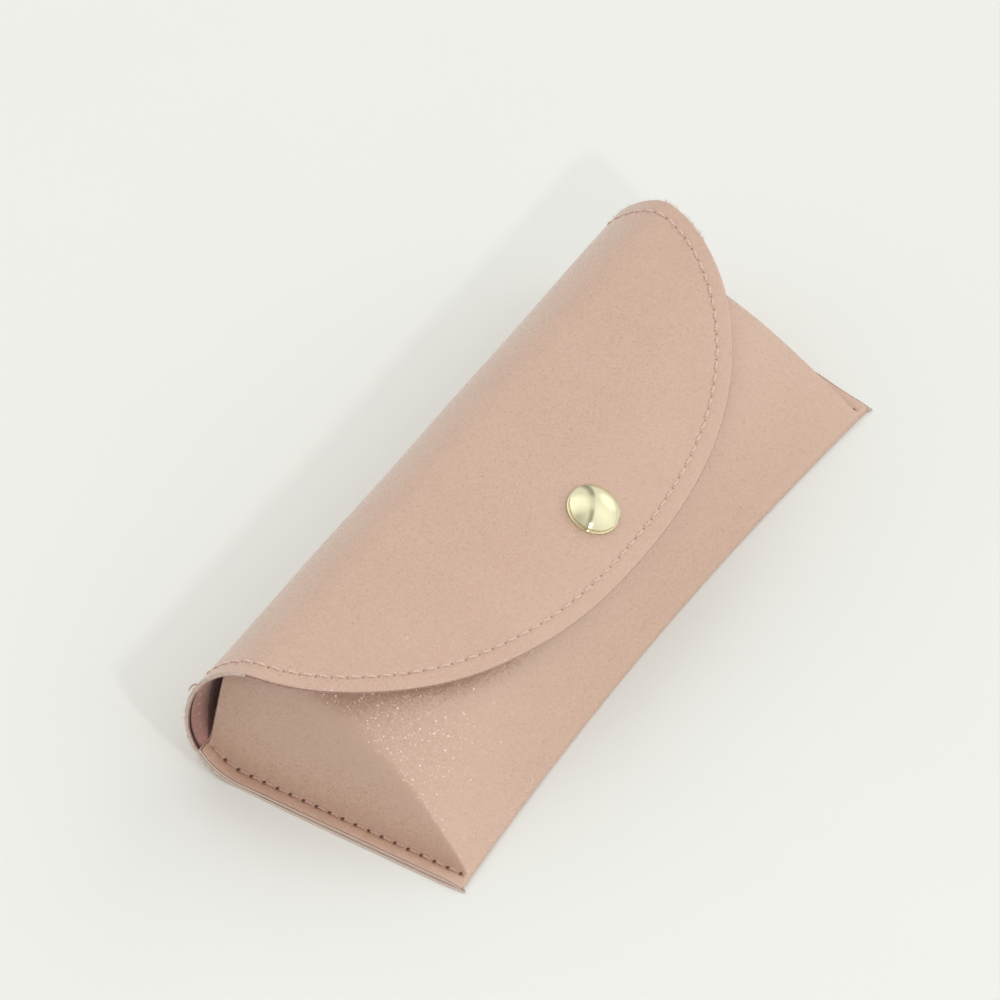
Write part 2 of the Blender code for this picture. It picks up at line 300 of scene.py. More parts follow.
def makeLeather():
    look = leatherLook
    finish, nodes, links, shader = newFinish("dustyPinkLeather")
    where = coordinate(nodes)
    cells = cellTexture(nodes, links, where, look["grain"], "DISTANCE_TO_EDGE")
    fine = noiseTexture(nodes, links, where, 0.16, 2.0)
    clouds = noiseTexture(nodes, links, where, look["clouds"], 3.0, 0.55)
    pebble = ranged(nodes, links, cells.outputs["Distance"], 0.0, 0.28, 0.0, 1.0)
    patches = ranged(nodes, links, clouds, 0.35, 0.65, 0.0, 1.0)
    tone = mixed(nodes, links, patches, look["colour"], look["shade"])
    creases = ranged(nodes, links, pebble, 0.0, 1.0, look["poreShare"], 0.0)
    links.new(mixed(nodes, links, creases, tone, look["pore"]), shader.inputs["Base Color"])
    links.new(ranged(nodes, links, fine, 0.3, 0.7, *look["roughness"]), shader.inputs["Roughness"])
    height = summed(nodes, links, [(pebble, 1.0), (fine, 0.8)])
    bumped(nodes, links, shader, height, look["grainDepth"])
    shader.inputs["Specular IOR Level"].default_value = 0.3
    shader.inputs["Sheen Weight"].default_value = look["sheen"]
    shader.inputs["Sheen Roughness"].default_value = 0.20
    shader.inputs["Sheen Tint"].default_value = (1.0, 0.93, 0.90, 1)
    # each small grain of the top coat leans its own way and catches a lamp
    grains = cellTexture(nodes, links, where, look["glint"])
    tilt = look["glintTilt"]
    lean = worked(
        nodes, links, "ShaderNodeVectorMath", "MULTIPLY_ADD",
        grains.outputs["Color"], (tilt, tilt, tilt), (-0.5 * tilt, -0.5 * tilt, -0.5 * tilt))
    straight = nodes.new("ShaderNodeNewGeometry").outputs["Normal"]
    facing = worked(nodes, links, "ShaderNodeVectorMath", "ADD", straight, lean.outputs["Vector"])
    unit = worked(nodes, links, "ShaderNodeVectorMath", "NORMALIZE", facing.outputs["Vector"])
    links.new(unit.outputs["Vector"], shader.inputs["Coat Normal"])
    shader.inputs["Coat Weight"].default_value = look["coat"]
    shader.inputs["Coat Roughness"].default_value = look["coatRoughness"]
    shader.inputs["Coat IOR"].default_value = look["coatIor"]
    return finish


finishColours = {
    "rawEdge": ((0.64, 0.48, 0.40), (0.86, 0.71, 0.62)),
    "lining": ((0.46, 0.235, 0.20), (0.54, 0.30, 0.262)),
    "palePinkThread": ((0.71, 0.51, 0.42), (0.85, 0.66, 0.57)),
    "rosyThread": ((0.60, 0.36, 0.27), (0.72, 0.47, 0.37)),
    "rawFibre": ((0.60, 0.44, 0.34), (0.80, 0.64, 0.52)),
    "gold": ((0.80, 0.76, 0.50), (0.84, 0.80, 0.55)),
    "steel": (0.56, 0.56, 0.55),
    # the two needle hole colours are painted shade: the dark inside of the holes
    "needleHoleShade": (0.17, 0.06, 0.04),
    "smallNeedleHoleShade": (0.54, 0.33, 0.255),
}


def makeBacking():
    finish, nodes, links, shader = newFinish("rawLeatherEdge")
    fibre = noiseTexture(nodes, links, coordinate(nodes), 0.22, 4.0, 0.7)
    links.new(clouded(nodes, links, fibre, *finishColours["rawEdge"]), shader.inputs["Base Color"])
    shader.inputs["Roughness"].default_value = 0.85
    bumped(nodes, links, shader, fibre, 0.12)
    return finish


def makeLining():
    finish, nodes, links, shader = newFinish("rosySatinLining")
    where = coordinate(nodes)
    turn = nodes.new("ShaderNodeMapping")
    turn.inputs["Rotation"].default_value = (0.3, 0.2, radians(35))
    links.new(where, turn.inputs["Vector"])
    weave = nodes.new("ShaderNodeTexWave")
    weave.bands_direction = "X"
    weave.inputs["Scale"].default_value = 1 / (0.30 * mm) / 6.283
    weave.inputs["Distortion"].default_value = 0.6
    links.new(turn.outputs["Vector"], weave.inputs["Vector"])
    slub = noiseTexture(nodes, links, where, 1.2, 3.0)
    links.new(clouded(nodes, links, slub, *finishColours["lining"]), shader.inputs["Base Color"])
    shader.inputs["Roughness"].default_value = 0.5
    shader.inputs["Sheen Weight"].default_value = 0.35
    shader.inputs["Sheen Roughness"].default_value = 0.4
    bumped(nodes, links, shader, summed(nodes, links, [(weave.outputs["Fac"], 1.0), (slub, 0.5)]), 0.03)
    return finish


def makeThread(name):
    finish, nodes, links, shader = newFinish(name)
    fuzz = noiseTexture(nodes, links, coordinate(nodes), 0.12, 3.0, 0.6)
    links.new(clouded(nodes, links, fuzz, *finishColours[name]), shader.inputs["Base Color"])
    shader.inputs["Roughness"].default_value = 0.6
    shader.inputs["Sheen Weight"].default_value = 0.3
    bumped(nodes, links, shader, fuzz, 0.04)
    return finish


def makeGold():
    finish, nodes, links, shader = newFinish("paleGoldPlate")
    wear = noiseTexture(nodes, links, coordinate(nodes), 2.5, 4.0, 0.6)
    links.new(ranged(nodes, links, wear, 0.3, 0.7, 0.07, 0.13), shader.inputs["Roughness"])
    links.new(mixed(nodes, links, wear, *finishColours["gold"]), shader.inputs["Base Color"])
    shader.inputs["Metallic"].default_value = 1.0
    bumped(nodes, links, shader, wear, 0.004)
    return finish


# A needle hole's finish: its colour is painted shade for the inside of the hole, mottled by a noise
def makeHoleShade(name):
    finish, nodes, links, shader = newFinish(name)
    rough = noiseTexture(nodes, links, coordinate(nodes), 0.2, 2.0)
    dark = tuple(0.6 * part for part in finishColours[name])
    links.new(mixed(nodes, links, rough, finishColours[name], dark), shader.inputs["Base Color"])
    shader.inputs["Roughness"].default_value = 0.9
    return finish


def makeSteel():
    finish, nodes, links, shader = newFinish("springWire")
    drawn = noiseTexture(nodes, links, coordinate(nodes), 0.4, 4.0, 0.6)
    links.new(ranged(nodes, links, drawn, 0.3, 0.7, 0.22, 0.38), shader.inputs["Roughness"])
    shader.inputs["Base Color"].default_value = (*finishColours["steel"], 1)
    shader.inputs["Metallic"].default_value = 1.0
    bumped(nodes, links, shader, drawn, 0.01)
    return finish


leather = makeLeather()
backing = makeBacking()
lining = makeLining()
thread = makeThread("palePinkThread")
rosyThread = makeThread("rosyThread")
rawFibre = makeThread("rawFibre")
gold = makeGold()
steel = makeSteel()
needleHoleShade = makeHoleShade("needleHoleShade")
smallHoleShade = makeHoleShade("smallNeedleHoleShade")
print("finishes mixed")

# The flap and the rear bend, which are one sheet
flap = {
    "crown": 1.7,
    "curveStart": 78.0,
    "tipSetback": 7.8,
    "fullness": 2.3,
    "taper": 1.6,
    "thickness": 0.8,
    "liningThickness": 0.28,
    "seamInset": 4.0,
    "edgeRoll": 0.28,        # the cut edge is rolled under by this
    "wave": 0.9,             # lift of the slack spot left of the snap
    "waveAt": -40.0,
    "waveWidth": 9.0,
    "ripple": 0.16,          # slow unevenness all over the sheet
}

curveAngle = radians(flap["curveStart"])
alongCurve = alongTop + topBend * (curveAngle - rearLean)
tipAngle = np.arccos((-halfDepth + flap["tipSetback"] - flapCentre[0]) / case["flapRadius"])
curveLength = alongFlap - alongCurve + case["flapRadius"] * (tipAngle - flapStart)
alongMiddle = alongRear + rearWall * radians(25)
alongSplit = 5.0


def flapReach(x, inset=0.0):
    share = np.clip(np.abs(x) / (halfLength - inset), 0, 1)
    return (curveLength - inset) * (1 - share ** flap["fullness"]) ** (1 / flap["taper"])


def flapLift(x, along):
    past = along - alongCurve
    lift = flap["crown"] * (1 - (x / halfLength) ** 2) * smoothStep(past / (0.6 * curveLength))
    nearEdge = smoothStep(past / np.maximum(flapReach(x), 1.0))
    lift = lift + flap["wave"] * bump(x - flap["waveAt"], flap["waveWidth"]) * nearEdge ** 2
    return lift + flap["ripple"] * np.sin(x / 13.0 + along / 17.0) * np.sin(along / 9.0 - x / 31.0)


def evenly(path, pitch):
    path = np.asarray(path, float)
    steps = np.linalg.norm(np.diff(path, axis=0), axis=1)
    length = np.concatenate([[0], np.cumsum(steps)])
    count = max(2, int(round(length[-1] / pitch)) + 1)
    at = np.linspace(0, length[-1], count)
    return np.stack([np.interp(at, length, path[:, k]) for k in range(path.shape[1])], axis=1)


stitch = {"pitch": 3.5, "holeWidth": 0.42, "holeDepth": 0.30, "grooveWidth": 0.9, "grooveDepth": 0.09}

# Stitch holes as (x, length along the sheet)
sideX = halfLength - flap["seamInset"]
curveX = sideX * np.sin(np.linspace(-pi / 2, pi / 2, 400))
curveSeam = np.stack([curveX, alongCurve + flapReach(curveX, flap["seamInset"])], axis=1)
sideSeam = np.linspace(alongMiddle + 1.75, alongCurve, 20)[:-1]


def sideRun(side, steps):
    return np.stack([np.full(len(steps), side * sideX), steps], axis=1)


flapSeam = np.concatenate([sideRun(-1, sideSeam), curveSeam, sideRun(1, sideSeam[::-1])])
flapHoles = evenly(flapSeam, stitch["pitch"])
rearSteps = np.arange(alongMiddle - 1.75, alongRear - 5.5, -stitch["pitch"])
rearHoles = {side: sideRun(side, rearSteps) for side in (-1, 1)}
allHoles = np.concatenate([flapHoles, rearHoles[-1], rearHoles[1]])


def stitchDip(x, along, holes):
    nearest = np.full(np.shape(x), 99.0)
    for holeX, holeAlong in holes:
        nearest = np.minimum(nearest, np.hypot(x - holeX, along - holeAlong))
    line = np.full(np.shape(x), 99.0)
    for first, second in zip(holes[:-1], holes[1:]):
        span = second - first
        if hypot(*span) > 2 * stitch["pitch"]:
            continue
        share = np.clip(((x - first[0]) * span[0] + (along - first[1]) * span[1]) / (span @ span), 0, 1)
        line = np.minimum(line, np.hypot(x - first[0] - share * span[0], along - first[1] - share * span[1]))
    pits = stitch["holeDepth"] * bump(nearest, stitch["holeWidth"])
    return pits + stitch["grooveDepth"] * bump(line, stitch["grooveWidth"])


def flapGrid(x, along):
    toEdge = np.where(along > alongCurve, alongCurve + flapReach(x) - along, 9.0)
    rolled = flap["edgeRoll"] * np.clip(1 - toEdge / 1.1, 0, 1) ** 2
    return sheetPoint(x, along, flapLift(x, along) - stitchDip(x, along, allHoles) - rolled)


def flapRows(columns, rows, inset=0.0):
    x = (halfLength - inset) * np.sin(np.linspace(pi / 2, -pi / 2, columns))
    share = np.concatenate([np.linspace(0, 0.975, rows - 12), np.linspace(0.975, 1, 13)[1:]])[:, None]
    reach = alongCurve - alongMiddle + flapReach(x, inset)
    return x[None, :] + 0 * share, alongMiddle + share * reach[None, :]


def sheetLeather(name, x, along, joined):
    finishes = [leather, backing, backing]
    return cutSheet(name, flapGrid(x, along), flap["thickness"], finishes, 0.1, joined)


def sheetLining(name, x, along, joined):
    under = sheetPoint(x, along, flapLift(x, along) - flap["thickness"] + 0.02)
    return cutSheet(name, under, flap["liningThickness"], [lining, lining, lining], 0.04, joined)


def makeFlap():
    sheet = sheetLeather("flapLeather", *flapRows(430, 150), ("start",))
    cloth = sheetLining("flapLining", *flapRows(180, 60, 0.12), ("start",))
    return sheet, cloth


def makeRearBend():
    nearEnd = np.linspace(halfLength, 80, 24)
    x = np.concatenate([nearEnd, np.linspace(80, -80, 82)[1:-1], -nearEnd[::-1]])
    x, along = np.meshgrid(x, np.linspace(alongSplit, alongMiddle, 76))
    sheet = sheetLeather("rearBendLeather", x, along, ("start", "end"))
    x = np.linspace(halfLength - 0.12, -halfLength + 0.12, 120)
    x, along = np.meshgrid(x, np.linspace(alongSplit + 6, alongMiddle, 40))
    cloth = sheetLining("rearBendLining", x, along, ("start", "end"))
    return sheet, cloth


flapLeather, flapLining = makeFlap()
rearLeather, rearLining = makeRearBend()
print("flap and rear bend cut")

pocket = {
    "foot": 84.0,
    "endSlope": 79.5,
    "frontSlopeMiddle": 68.0,
    "frontSlopeEnd": 47.0,
    "frontBow": 50.0,        # how soon the front slope bends over
    "nearBow": 30.0,         # sooner near the left end, where the pocket sags
    "farFlare": 4.6,         # the far end seam curls up by this much
    "ridgeSharpness": 8,
    "drop": 3.3,
    "endLift": 1.5,          # nearer to the flap at the ends by this
    "thickness": 0.8,
    "mouthAngle": -35.0,
    "mouthScoop": 16.5,
    "lowerShows": 0.35,      # the lower sheet stands out past the upper one
    "seamInset": 3.3,
    "snapInset": 15.1,
    "underSnap": 5.0,        # flap's outer face down to the pocket under the snap
    "flatAroundSnap": 5.5,
    "flatFade": 6.0,
}

flangeStack = 2 * pocket["thickness"] + 0.14
mouthEnd = bottomCentre[0] + (bottomBend - flangeStack) * cos(radians(pocket["mouthAngle"]))
endSeamX = halfLength - pocket["seamInset"]
snapAlong = alongCurve + curveLength - pocket["snapInset"]
snapPoint = sheetPoint(0.0, snapAlong, flap["crown"])
snapNear = sheetPoint(0.0, snapAlong + 0.5, flap["crown"]) - sheetPoint(0.0, snapAlong - 0.5, flap["crown"])
snapAxis = np.cross([1, 0, 0], snapNear)
snapAxis = snapAxis / np.linalg.norm(snapAxis) * np.sign(snapAxis[2])
snapSeat = snapPoint - snapAxis * pocket["underSnap"]


def frontFold(x):
    return -halfDepth + case["frontHollow"] * (1 - (x / halfLength) ** 2)


def mouthEdge(x):
    share = np.clip(np.abs(x) / pocket["foot"], 0, 1)
    return mouthEnd - pocket["mouthScoop"] * (1 - share ** 2)


def flangeLevel(x, y, depth):
    beyond = np.clip(y - bottomCentre[0], 0, None)
    reach = bottomBend - flangeStack + depth
    level = bottomBend - np.sqrt(np.maximum(reach ** 2 - beyond ** 2, 0.01))
    fold = flangeStack / 2
    inFold = np.clip(fold - (y - frontFold(x)), 0, fold)
    return level - fold + np.sqrt(np.maximum(fold ** 2 - inFold ** 2, 0))


# The panel's top lies under the flap at an even distance, less at the ends
def roofLevel(x, y, depth):
    drop = pocket["drop"] - pocket["endLift"] * np.clip(np.abs(x) / pocket["foot"], 0, 1) ** 3 + depth
    frontJoin = flapCentre[0] + (case["flapRadius"] - drop) * cos(flapStart)
    rearJoin = topCentre[0] + (topBend - drop) * cos(rearLean)
    centreY = np.select([y <= frontJoin, y <= rearJoin], [flapCentre[0], topCentre[0]], rearCentre[0])
    centreZ = np.select([y <= frontJoin, y <= rearJoin], [flapCentre[1], topCentre[1]], rearCentre[1])
    radius = np.select([y <= frontJoin, y <= rearJoin], [case["flapRadius"], topBend], rearWall) - drop
    return centreZ + np.sqrt(np.maximum(radius ** 2 - (y - centreY) ** 2, 0.01))


# Both sheets curl up together at the far end seam
def farCurl(x, y):
    along = smoothStep((y + 36) / 22) * smoothStep((16 - y) / 20)
    return pocket["farFlare"] * smoothStep((x - pocket["foot"] + 0.6) / 5.2) * along


# Zero before the foot, then the distance itself, with a rounded start
def eased(distance, width):
    return width * np.logaddexp(0, distance / width)


def panelLevel(x, y, depth=0.0):
    floor = flangeLevel(x, y, depth)
    share = np.clip(np.abs(x) / pocket["foot"], 0, 1) ** 3
    flatter = pocket["frontSlopeEnd"] - pocket["frontSlopeMiddle"]
    frontSlope = np.radians(pocket["frontSlopeMiddle"] + flatter * share)
    endSlope = radians(pocket["endSlope"])
    toEnd = eased(pocket["foot"] - np.abs(x) - depth * tan(endSlope / 2), 0.22)
    toFront = eased(y - frontFold(x) - 0.5 - depth * np.tan(frontSlope / 2), 0.35)
    sag = smoothStep((-x - 52) / 24)
    bow = pocket["frontBow"] + (pocket["nearBow"] - pocket["frontBow"]) * sag
    frontRise = bow * np.tan(frontSlope) * (1 - np.exp(-toFront / bow))
    rises = [toEnd * tan(endSlope), frontRise, np.maximum(roofLevel(x, y, depth) - floor, 0.5)]
    sharp = pocket["ridgeSharpness"]
    level = floor + sum(np.maximum(rise, 1e-4) ** -sharp for rise in rises) ** (-1 / sharp)
    away = np.hypot(x, y - snapSeat[1]) - pocket["flatAroundSnap"]
    seat = snapSeat[2] - (y - snapSeat[1]) * snapAxis[1] / snapAxis[2] - depth / snapAxis[2]
    return seat + (level - seat) * smoothStep(away / pocket["flatFade"])


endSeam = {
    "holes": 20,
    "holeDepth": 0.55,
    "holeWidth": 0.40,
    "grooveDepth": 0.22,
    "grooveWidth": 0.7,
    "swell": 0.14,           # the rim stands up outside the seam
    "droop": 0.12,
    "pinch": 0.5,            # the front corners are pressed thin
}
endHoleY = np.linspace(-halfDepth + 2.4, mouthEnd - 0.9, endSeam["holes"])


def endSeamDip(x, y):
    away = np.abs(np.abs(x) - endSeamX)
    nearest = np.min([np.abs(y - hole) for hole in endHoleY], axis=0)
    inRun = (y > endHoleY[0] - 1) & (y < endHoleY[-1] + 1)
    hole = endSeam["holeDepth"] * bump(np.hypot(away, nearest), endSeam["holeWidth"])
    groove = endSeam["grooveDepth"] * bump(away, endSeam["grooveWidth"]) * inRun
    swell = endSeam["swell"] * bump(np.abs(x) - (halfLength - 1.7), 1.0)
    droop = endSeam["droop"] * smoothStep(np.abs(x) - halfLength + 1.0)
    pinch = endSeam["pinch"] * bump(np.hypot(np.abs(x) - halfLength, y + halfDepth), 2.2)
    return hole + groove - swell + droop + pinch


# Rows of the pocket sheet run from the mouth forward over the front panel,
# round the front fold and back under the base
def pocketRows(x):
    nearFold = 1 - 0.03 * np.linspace(1, 0, 16)[1:] ** 2
    share = np.concatenate([np.linspace(0, 0.06, 14), np.linspace(0.06, 0.97, 190)[1:], nearFold])
    front = frontFold(x)
    back = mouthEdge(x)
    rows = []
    for part in share:
        y = back + part * (front - back)
        z = panelLevel(x, y)
        rows.append(np.stack([x, y, z - endSeamDip(x, y) + farCurl(x, y)], axis=-1))
    return rows


def underRows(x):
    fold = flangeStack / 2 - 0.25 * bump(np.abs(x) - halfLength, 1.8)
    wider = np.sign(x) * pocket["lowerShows"] * smoothStep((np.abs(x) - 80) / 8)
    rows = []
    for angle in np.linspace(0, pi / 2, 8)[1:]:
        y = frontFold(x) + fold * (1 - cos(angle))
        share = sin(angle) ** 2
        rows.append(np.stack([x + 0.1 * wider * share, y, 0 * x + fold * (1 - sin(angle))], axis=-1))
    start = frontFold(x) + fold
    for share in np.linspace(0, 1, 40)[1:]:
        y = start + share * (bottomCentre[0] - start)
        across = x + wider * (1 - smoothStep(3 * share - 2)) * smoothStep(12 * share + 0.1)
        rows.append(np.stack([across, y, farCurl(x, y)], axis=-1))
    for along in np.linspace(0, alongSplit, 8)[1:]:
        point = sheetPoint(x, np.full(len(x), along))
        point[:, 2] += farCurl(x, point[:, 1]) * (1 - along / alongSplit)
        rows.append(point)
    return rows


def makePocket():
    side = np.concatenate([np.linspace(halfLength, 76.6, 50), np.linspace(76.6, 0, 46)[1:]])
    x = np.concatenate([side, -side[-2::-1]])
    grid = np.array(pocketRows(x) + underRows(x))
    return cutSheet("pocketLeather", grid, pocket["thickness"], [leather, backing, backing], 0.1, ("end",))


pocketLeather = makePocket()
print("pocket folded")


def makePocketLining():
    depth = pocket["thickness"] + 0.08
    reach = pocket["foot"] - 1.4
    side = np.concatenate([np.linspace(reach, 76, 26), np.linspace(76, 0, 30)[1:]])
    x = np.concatenate([side, -side[-2::-1]])
    rows = []
    for part in np.linspace(0, 1, 80):
        back = mouthEdge(x) - 0.1
        y = back + part * (frontFold(x) + 1.6 - back)
        rows.append(np.stack([x, y, panelLevel(x, y, depth)], axis=-1))
    front = frontFold(x) + 1.6
    for level in (0.66, 0.33):
        rows.append(np.stack([x, front, level * panelLevel(x, front, depth) + (1 - level) * 1.0], axis=-1))
    for share in np.linspace(0, 1, 24):
        y = front + 0.2 + share * (bottomCentre[0] - front - 0.2)
        rows.append(np.stack([x, y, 0 * x + 1.0], axis=-1))
    for along in np.linspace(0, alongSplit + 6, 10)[1:]:
        rows.append(sheetPoint(x, np.full(len(x), along), -1.0))
    return cutSheet("pocketLining", np.array(rows), 0.2, [lining, lining, lining], 0.03)


pocketLining = makePocketLining()
print("pocket lined")


# Two strands twisted round each other
def plyTube(points, normals, radius, twist):
    points = np.asarray(points, float)
    count = len(points)
    ahead = np.gradient(points, axis=0)
    ahead /= np.linalg.norm(ahead, axis=1, keepdims=True)
    side = np.cross(ahead, normals)
    side /= np.linalg.norm(side, axis=1, keepdims=True)
    up = np.cross(side, ahead)
    around = 8
    vertices, faces = [], []
    for strand in (0, 1):
        base = len(vertices)
        for k in range(count):
            taper = min(1.0, 0.25 + 3.0 * min(k, count - 1 - k) / (count - 1))
            phase = twist * k / (count - 1) * 2 * pi + strand * pi
            centre = points[k] + 0.5 * radius * (cos(phase) * side[k] + sin(phase) * up[k])
            for m in range(around):
                turn = 2 * pi * m / around
                vertices.append(centre + 0.66 * radius * taper * (cos(turn) * side[k] + sin(turn) * up[k]))
        for k in range(count - 1):
            for m in range(around):
                a = base + k * around + m
                b = base + k * around + (m + 1) % around
                faces.append((a, b, b + around, a + around))
        faces.append(tuple(base + m for m in reversed(range(around))))
        faces.append(tuple(base + (count - 1) * around + m for m in range(around)))
    return vertices, faces


def stitchRun(name, holes, place, look, finish, seed=3):
    dice = Random(seed)
    vertices, faces = [], []
    for first, second in zip(holes[:-1], holes[1:]):
        slant = look["slant"] + dice.uniform(-0.05, 0.05)
        begin = look["from"] + dice.uniform(-0.03, 0.03)
        stop = look["to"] + dice.uniform(-0.03, 0.03)
        radius = look["radius"] * dice.uniform(0.92, 1.08)
        points, normals = [], []
        for share in np.linspace(0.0, 1.0, 13):
            spot = first + (second - first) * (begin + (stop - begin) * share)
            span = second - first
            spot = spot + np.array([-span[1], span[0]]) / hypot(*span) * slant * (2 * share - 1)
            point, normal = place(*spot)
            arch = sin(pi * share) ** 0.45
            points.append(point + normal * (look["over"] * arch - look["sink"] * (1 - arch)))
            normals.append(normal)
        moreVertices, moreFaces = plyTube(points, np.array(normals), radius, 1.6)
        shift = len(vertices)
        vertices += moreVertices
        faces += [tuple(corner + shift for corner in face) for face in moreFaces]
    return meshObject(name, np.array(vertices), faces, None, [finish])


# Needle holes: shallow pits pressed into the leather, coloured dark as painted shade for the inside of each
# hole
def shadedNeedleHoles(name, holes, place, size, finish):
    vertices, faces = [], []
    around = 12
    for spot in holes[:-1]:
        point, normal = place(*spot)
        side = np.cross(normal, [0.3, 0.5, 0.8])
        side /= np.linalg.norm(side)
        other = np.cross(normal, side)
        base = len(vertices)
        for ring, (out, deep) in enumerate(((0.0, 0.0), (0.7, 0.02), (1.0, 0.12))):
            for k in range(around):
                turn = 2 * pi * k / around
                way = cos(turn) * side + sin(turn) * other
                vertices.append(point + way * size["radius"] * out + normal * (size["lift"] - deep))
                if ring:
                    a = base + (ring - 1) * around + k
                    b = base + (ring - 1) * around + (k + 1) % around
                    faces.append((a, a + around, b + around, b))
    return meshObject(name, np.array(vertices), faces, None, [finish])


# Where a stitch lies, and which way is out, on each of the sewn faces
def onSheet(outside=True):
    def place(x, along):
        angle = float(sheetAngle(along))
        normal = np.array([0, cos(angle), sin(angle)])
        lift = float(flapLift(x, along))
        if outside:
            return sheetPoint(x, along, lift - 0.09), normal
        return sheetPoint(x, along, lift - flap["thickness"] - flap["liningThickness"] - 0.05), -normal
    return place


def onFlange(side):
    def place(x, y):
        x = side * endSeamX
        a = np.array([x, y - 0.4, float(flangeLevel(x, y - 0.4, 0.0))])
        b = np.array([x, y + 0.4, float(flangeLevel(x, y + 0.4, 0.0))])
        ahead = (b - a) / np.linalg.norm(b - a)
        normal = np.cross([1.0, 0, 0], ahead)
        return (a + b) / 2 + np.array([0, 0, float(farCurl(x, y))]), normal
    return place


def underFlange(side):
    def place(x, y):
        beyond = max(0.0, y - bottomCentre[0])
        angle = np.arcsin(min(1.0, beyond / bottomBend))
        normal = np.array([0, sin(angle), -cos(angle)])
        back = bottomCentre[0] + bottomBend * sin(angle) if beyond > 0 else y
        lift = float(farCurl(side * endSeamX, y))
        return np.array([side * endSeamX, back, bottomBend - bottomBend * cos(angle) + lift]), normal
    return place


topStitch = {"radius": 0.27, "from": 0.14, "to": 0.84, "sink": 0.30, "over": 0.12, "slant": 0.14}
underStitch = {"radius": 0.20, "from": 0.10, "to": 0.90, "sink": 0.20, "over": 0.10, "slant": 0.0}
endStitch = {"radius": 0.30, "from": 0.18, "to": 0.92, "sink": 0.35, "over": 0.10, "slant": 0.06}
topPit = {"radius": 0.20, "lift": 0.05}
endPit = {"radius": 0.36, "lift": 0.10}
flapStitches = stitchRun("flapEdgeStitches", flapHoles, onSheet(), topStitch, thread)
flapUnder = stitchRun("flapEdgeStitchesInside", flapHoles, onSheet(False), underStitch, thread)
flapHoleShade = shadedNeedleHoles("flapNeedleHoleShade", flapHoles, onSheet(), topPit, smallHoleShade)
rearStitches = {}
rearHoleShade = {}
for side, word in ((-1, "left"), (1, "right")):
    holes = rearHoles[side]
    rearStitches[side] = stitchRun(word + "RearStitches", holes, onSheet(), topStitch, thread)
    rearHoleShade[side] = shadedNeedleHoles(word + "RearNeedleHoleShade", holes, onSheet(), topPit, smallHoleShade)
endStitches = {}
endUnder = {}
endHoleShade = {}
for side, word in ((-1, "left"), (1, "right")):
    holes = np.stack([np.full(len(endHoleY), side * endSeamX), endHoleY], axis=1)
    endStitches[side] = stitchRun(word + "EndStitches", holes, onFlange(side), endStitch, rosyThread)
    endUnder[side] = stitchRun(word + "EndStitchesBelow", holes, underFlange(side), underStitch, rosyThread)
    endHoleShade[side] = shadedNeedleHoles(word + "EndNeedleHoleShade", holes, onFlange(side), endPit, needleHoleShade)
print("seams sewn")


# Short fibres along a raw edge, and a loose thread end
def fibreTuft(name, roots, ways, look, finish, seed):
    dice = Random(seed)
    vertices, faces = [], []
    for root, way in zip(roots, ways):
        bend = np.array([dice.uniform(-1, 1) for k in range(3)])
        length = look["length"] * dice.uniform(0.35, 1.0)
        heading = way + look["spread"] * bend
        curl = look["curl"] * np.array([dice.uniform(-1, 1) for k in range(3)])
        centres = [root + heading * length * t + curl * length * t * t for t in (0, 0.35, 0.7, 1.0)]
        base = len(vertices)
        for ring, centre in enumerate(centres):
            for k in range(3):
                turn = 2 * pi * k / 3
                out = look["radius"] * (1 - 0.28 * ring)
                vertices.append(centre + out * np.array([cos(turn), 0.6 * sin(turn), 0.8 * sin(turn)]))
        for ring in range(3):
            for k in range(3):
                a = base + 3 * ring + k
                b = base + 3 * ring + (k + 1) % 3
                faces.append((a, b, b + 3, a + 3))
        faces.append((base + 11, base + 10, base + 9))
    return meshObject(name, np.array(vertices), faces, None, [finish])


fibre = {"length": 0.75, "spread": 0.75, "curl": 0.5, "radius": 0.035, "perSide": 420}


def edgeFibres(name, fromAlong, toAlong, seed):
    dice = Random(seed)
    roots, ways = [], []
    for side in (-1, 1):
        for k in range(fibre["perSide"]):
            along = dice.uniform(fromAlong, toAlong)
            x = side * halfLength if along < alongCurve else side * flapEdgeX(along - alongCurve)
            depth = dice.uniform(0.0, 1.0) * flap["thickness"]
            root = sheetPoint(x, along, float(flapLift(np.float64(x), np.float64(along))) - depth)
            angle = float(sheetAngle(along))
            roots.append(root)
            ways.append(np.array([side * 0.8, 0.45 * cos(angle), 0.45 * sin(angle)]))
    return fibreTuft(name, roots, ways, fibre, rawFibre, seed)


def flapEdgeX(past):
    share = 1 - (past / curveLength) ** flap["taper"]
    return halfLength * share ** (1 / flap["fullness"])


loose = {"x": -85.2, "radius": 0.24, "twist": 5.0, "points": 26}


def looseEnd():
    root = sheetPoint(loose["x"], alongMiddle - 1.0, 0.0)
    points = []
    for t in np.linspace(0, 1, loose["points"]):
        curl = np.array([-1.6 * t - 0.8 * t * t, 1.6 * t - 0.5 * t * t, 1.5 * t - 2.2 * t ** 3])
        points.append(root + curl)
    up = np.tile([0.0, 0.0, 1.0], (loose["points"], 1))
    vertices, faces = plyTube(points, up, loose["radius"], loose["twist"])
    return meshObject("looseThreadEnd", np.array(vertices), faces, None, [rawFibre])


rearFibres = edgeFibres("rearEdgeFibres", alongSplit + 2, alongMiddle, 5)
flapFibres = edgeFibres("flapEdgeFibres", alongMiddle, alongCurve + 14, 6)
looseThread = looseEnd()
print("edges frayed")

# The snap's parts are turned round its axis, with heights from the leather's
# face: above it the cap and its post, below it the socket, stud and rivet
snap = {"capRadius": 6.25, "domeReach": 5.85, "domeTilt": 40.0, "domeFoot": 1.65, "stem": 1.5}


